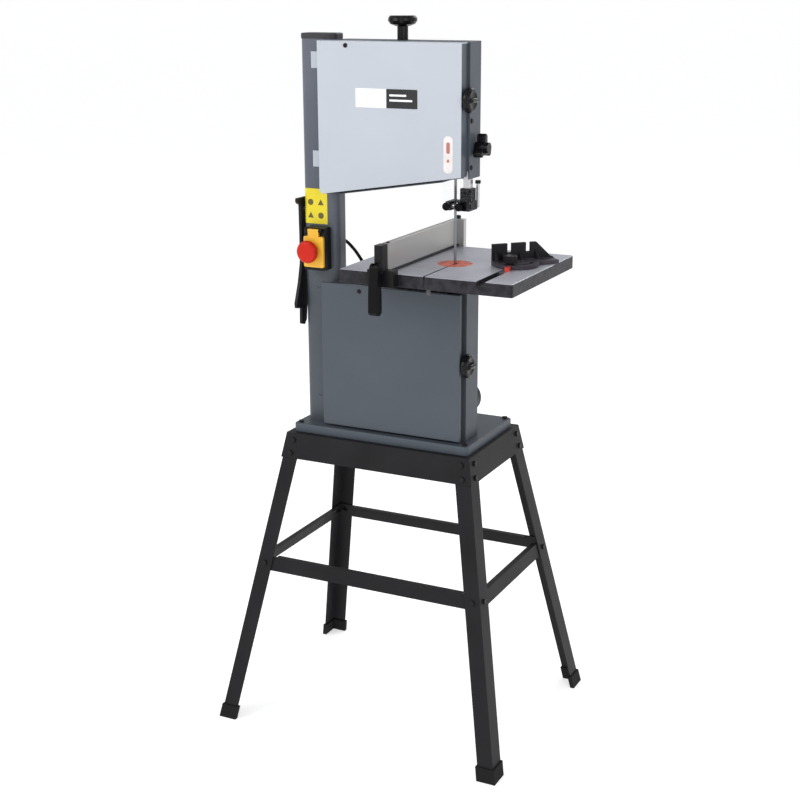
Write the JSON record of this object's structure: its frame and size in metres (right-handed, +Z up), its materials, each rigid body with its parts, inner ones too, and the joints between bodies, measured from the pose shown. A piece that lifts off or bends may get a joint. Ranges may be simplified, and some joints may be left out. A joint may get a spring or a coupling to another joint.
{
  "type": "band saw",
  "caption": "Vertical band saw on a splayed steel stand, with hinged wheel doors, tilting table, rip fence, mitre gauge and adjustable blade guide.",
  "frame": {"origin": "on the floor under the middle of the stand", "axes": "+X from the column towards the blade, +Y to the back, +Z up"},
  "size_m": [0.6161, 0.476, 1.3895],
  "materials": {
    "stand_paint": "satin black paint",
    "rubber": "matt",
    "steel": "bright",
    "grey_paint": "semi-gloss grey paint",
    "black_plastic": "moulded",
    "wheel_alloy": "turned",
    "motor_paint": "satin paint",
    "cast_iron": "as cast",
    "black_metal": "black finish",
    "clear_plastic": "clear",
    "table_iron": "ground top, dark edges",
    "fence_alloy": "anodised",
    "red_plastic": "moulded",
    "yellow_plastic": "moulded",
    "green_plastic": "moulded"
  },
  "bodies": {
    "frame": {"front_legs": "stand_paint", "rear_legs": "stand_paint", "leg_boots": "rubber", "aprons": "stand_paint", "stretchers": "stand_paint", "stand_bolts": "steel", "base_plate": "grey_paint", "column": "grey_paint", "column_cap": "black_plastic", "upper_housing": "grey_paint", "lower_housing": "grey_paint", "dust_port": "black_plastic", "hinge_leaves": "steel", "lower_axle": "steel", "blade": "steel", "drive_belt": "rubber", "motor": "motor_paint", "motor_fan_cover": "motor_paint", "tension_spring": "steel", "trunnion_bracket": "cast_iron", "lower_guide": "black_metal", "lower_guide_pins": "steel", "switch_box": "black_plastic", "stick_peg": "steel", "motor_lead": "rubber", "lead_glands": "black_plastic"},
    "upper_door": {"upper_door": "grey_paint"},
    "upper_latch": {"upper_door_knob": "black_plastic"},
    "lower_door": {"lower_door": "grey_paint"},
    "lower_latch": {"lower_door_knob": "black_plastic"},
    "carriage": {"wheel_carriage": "cast_iron"},
    "screw": {"tension_screw": "black_plastic"},
    "tracker": {"tracking_knob": "black_plastic"},
    "upper_wheel": {"upper_wheel": "wheel_alloy", "upper_tyre": "rubber"},
    "lower_wheel": {"lower_wheel": "wheel_alloy", "lower_tyre": "rubber"},
    "rotor": {"motor_pulley": "wheel_alloy"},
    "guide": {"guide_post": "steel", "guide_block": "black_metal", "guide_pins": "steel", "blade_guard": "clear_plastic"},
    "guide_bearing": {"thrust_bearing": "steel"},
    "clamp_knob": {"guide_clamp_knob": "black_plastic"},
    "table": {"table": "table_iron", "table_insert": "red_plastic", "trunnion": "cast_iron"},
    "tilt_knob": {"tilt_lock_knob": "black_plastic"},
    "fence": {"fence": "fence_alloy", "fence_strip": "black_plastic", "fence_bracket": "black_metal", "fence_rear_clamp": "fence_alloy"},
    "fence_lever": {"fence_lever": "black_plastic"},
    "gauge_bar": {"mitre_bar": "steel"},
    "gauge_head": {"mitre_head": "black_metal"},
    "gauge_knob": {"mitre_knob": "black_plastic"},
    "flap": {"switch_flap": "yellow_plastic"},
    "stop": {"stop_button": "red_plastic"},
    "start": {"start_button": "green_plastic"},
    "stick": {"push_stick": "black_plastic"}
  },
  "joints": [
    {"name": "upper_door_hinge", "type": "hinge", "parent": "frame", "child": "upper_door", "pos_m": [-0.131, -0.0765, 1.205], "axis": [0, 0, -1], "range_deg": [0, 105]},
    {"name": "lower_door_hinge", "type": "hinge", "parent": "frame", "child": "lower_door", "pos_m": [-0.131, -0.0765, 0.756], "axis": [0, 0, -1], "range_deg": [0, 105]},
    {"name": "upper_latch_turn", "type": "hinge", "parent": "upper_door", "child": "upper_latch", "pos_m": [0.18, -0.085, 1.247], "axis": [1, 0, 0], "range_deg": [-180, 180]},
    {"name": "lower_latch_turn", "type": "hinge", "parent": "lower_door", "child": "lower_latch", "pos_m": [0.18, -0.085, 0.762], "axis": [1, 0, 0], "range_deg": [-180, 180]},
    {"name": "tension_slide", "type": "slide", "parent": "frame", "child": "carriage", "axis": [0, 0, 1], "range_m": [-0.005, 0], "deforming": ["tension_spring"]},
    {"name": "tension_screw_turn", "type": "hinge", "parent": "frame", "child": "screw", "pos_m": [0.0195, -0.036, 1.38], "axis": [0, 0, -1], "range_deg": [-1440, 0]},
    {"name": "tracking_turn", "type": "hinge", "parent": "carriage", "child": "tracker", "pos_m": [0.013, -0.01, 1.214], "axis": [0, 1, 0], "range_deg": [-180, 180]},
    {"name": "upper_wheel_spin", "type": "hinge", "parent": "carriage", "child": "upper_wheel", "pos_m": [0.013, -0.057, 1.214], "axis": [0, 1, 0], "continuous": true},
    {"name": "lower_wheel_spin", "type": "hinge", "parent": "frame", "child": "lower_wheel", "pos_m": [0.013, -0.057, 0.756], "axis": [0, 1, 0], "continuous": true},
    {"name": "motor_spin", "type": "hinge", "parent": "frame", "child": "rotor", "pos_m": [-0.05, -0.038, 0.69], "axis": [0, 1, 0], "continuous": true},
    {"name": "guide_post_slide", "type": "slide", "parent": "frame", "child": "guide", "axis": [0, 0, 1], "range_m": [-0.085, 0]},
    {"name": "guide_bearing_spin", "type": "hinge", "parent": "guide", "child": "guide_bearing", "pos_m": [0.1361, -0.0405, 1.054], "axis": [1, 0, 0], "continuous": true},
    {"name": "guide_clamp_turn", "type": "hinge", "parent": "frame", "child": "clamp_knob", "pos_m": [0.18, -0.043, 1.16], "axis": [1, 0, 0], "range_deg": [-180, 180]},
    {"name": "table_tilt", "type": "hinge", "parent": "frame", "child": "table", "pos_m": [0.1361, -0.032, 0.947], "axis": [0, 1, 0], "range_deg": [0, 45]},
    {"name": "tilt_lock_turn", "type": "hinge", "parent": "frame", "child": "tilt_knob", "pos_m": [0.1361, -0.01, 0.9115], "axis": [0, 1, 0], "range_deg": [-180, 180]},
    {"name": "fence_slide", "type": "slide", "parent": "table", "child": "fence", "axis": [1, 0, 0], "range_m": [-0.055, 0.014]},
    {"name": "fence_lever_lift", "type": "hinge", "parent": "fence", "child": "fence_lever", "pos_m": [0.056, -0.221, 0.96], "axis": [-1, 0, 0], "range_deg": [0, 80]},
    {"name": "gauge_slide", "type": "slide", "parent": "table", "child": "gauge_bar", "axis": [0, 1, 0], "range_m": [-0.09, 0.08]},
    {"name": "gauge_head_turn", "type": "hinge", "parent": "gauge_bar", "child": "gauge_head", "pos_m": [0.246, -0.028, 0.95], "axis": [0, 0, 1], "range_deg": [-105, 15]},
    {"name": "gauge_knob_turn", "type": "hinge", "parent": "gauge_bar", "child": "gauge_knob", "pos_m": [0.246, -0.057, 0.96], "axis": [0, 0, 1], "range_deg": [-180, 180]},
    {"name": "flap_lift", "type": "hinge", "parent": "frame", "child": "flap", "pos_m": [-0.1405, -0.098, 0.995], "axis": [-1, 0, 0], "range_deg": [0, 100]},
    {"name": "stop_press", "type": "slide", "parent": "flap", "child": "stop", "axis": [0, 1, 0], "range_m": [0, 0.005], "stiffness_N_per_m": 400},
    {"name": "start_press", "type": "slide", "parent": "frame", "child": "start", "axis": [0, 1, 0], "range_m": [0, 0.004], "stiffness_N_per_m": 400},
    {"name": "stick_off", "type": "slide", "parent": "frame", "child": "stick", "axis": [-1, 0, 0], "range_m": [0, 0.04]}
  ],
  "couplings": [
    {"joint": "upper_wheel_spin", "follows": "lower_wheel_spin", "ratio": 1},
    {"joint": "motor_spin", "follows": "lower_wheel_spin", "ratio": 3.0556},
    {"joint": "tension_screw_turn", "follows": "tension_slide", "rad_per_m": 5026.5}
  ]
}
